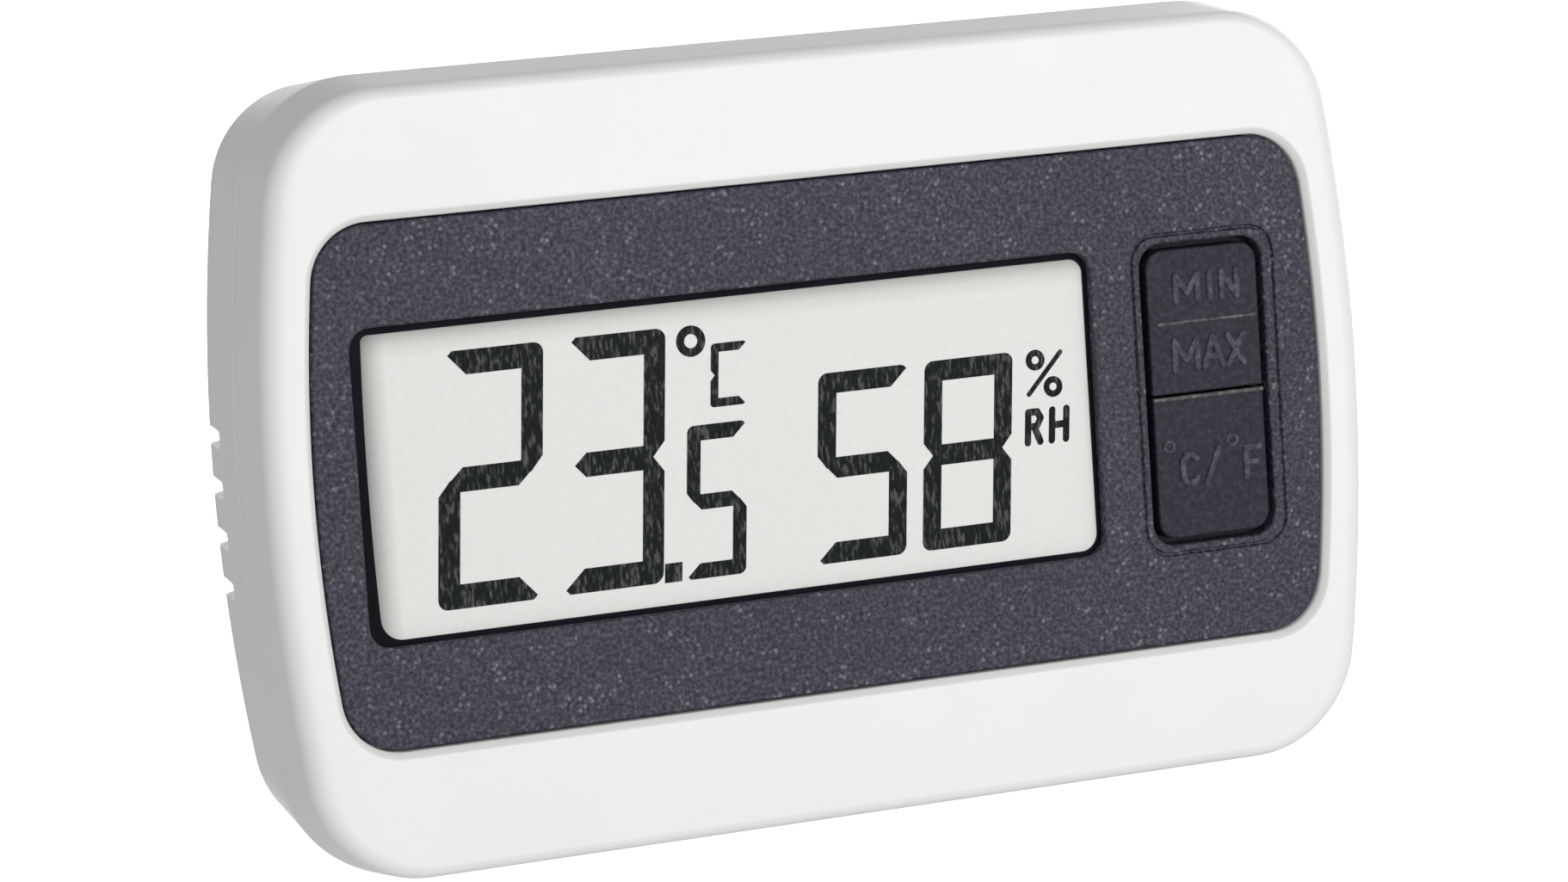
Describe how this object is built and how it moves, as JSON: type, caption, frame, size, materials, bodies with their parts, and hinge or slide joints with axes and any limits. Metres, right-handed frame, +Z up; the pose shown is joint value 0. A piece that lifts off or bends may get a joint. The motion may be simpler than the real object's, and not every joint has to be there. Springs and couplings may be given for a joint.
{
  "type": "maximum minimum thermometer",
  "caption": "Small rounded white desk thermometer with a segment display for temperature and humidity, a dark front panel, press keys, a coin-slot battery cap and a fold-out leg.",
  "frame": {"origin": "under the middle of the case, on the surface it stands on", "axes": "+X to the reader's right, -Y out of the display, +Z up"},
  "size_m": [0.0596, 0.0146, 0.0395],
  "materials": {
    "white_case": "satin moulded",
    "face_panel": "fine metallic fleck",
    "keys": "satin",
    "display_film": "satin film",
    "display_glass": "clear",
    "reflector": "silvered film",
    "holder": "moulded",
    "connector_rubber": "striped elastomer",
    "board": "glass laminate with green mask",
    "black_resin": "epoxy",
    "sensor_case": "moulded",
    "crystal_can": "drawn can",
    "ceramic": "fired",
    "chip_resistor": "fired, glazed",
    "cell_steel": "drawn can",
    "contact_steel": "nickel plated spring strip",
    "screw_steel": "zinc plated"
  },
  "bodies": {
    "case": {"front_housing": "white_case", "rear_cover": "white_case", "face_panel": "face_panel", "front_polarizer": "display_film", "front_glass": "display_glass", "rear_glass": "display_glass", "rear_reflector": "reflector", "lcd_holder": "holder", "elastomer_connector": "connector_rubber", "circuit_board": "board", "chip_blob": "black_resin", "temperature_sensor": "black_resin", "upper_switch_base": "black_resin", "lower_switch_base": "black_resin", "humidity_sensor": "sensor_case", "quartz_crystal": "crystal_can", "capacitor_1": "ceramic", "capacitor_2": "ceramic", "capacitor_3": "ceramic", "resistor_1": "chip_resistor", "resistor_2": "chip_resistor", "resistor_3": "chip_resistor", "button_cell": "cell_steel", "positive_contact": "contact_steel", "negative_contact": "contact_steel", "case_screw_1": "screw_steel", "board_screw_1": "screw_steel", "case_screw_2": "screw_steel", "board_screw_2": "screw_steel", "case_screw_3": "screw_steel", "board_screw_3": "screw_steel", "case_screw_4": "screw_steel", "board_screw_4": "screw_steel"},
    "upper_key": {"min_max_key": "keys", "upper_switch_plunger": "sensor_case"},
    "lower_key": {"unit_key": "keys", "lower_switch_plunger": "sensor_case"},
    "cap": {"battery_cap": "white_case"},
    "leg": {"stand_leg": "white_case"}
  },
  "joints": [
    {"name": "min_max_key_press", "type": "slide", "parent": "case", "child": "upper_key", "axis": [0, 1, 0], "range_m": [0, 0.0003], "stiffness_N_per_m": 1000},
    {"name": "unit_key_press", "type": "slide", "parent": "case", "child": "lower_key", "axis": [0, 1, 0], "range_m": [0, 0.0003], "stiffness_N_per_m": 1000},
    {"name": "battery_cap_turn", "type": "hinge", "parent": "case", "child": "cap", "pos_m": [0.0163, 0.00725, 0.01975], "axis": [0, 1, 0], "range_deg": [0, 38]},
    {"name": "leg_fold", "type": "hinge", "parent": "case", "child": "leg", "pos_m": [0, 0.0063, 0.027], "axis": [1, 0, 0], "range_deg": [0, 55]}
  ]
}
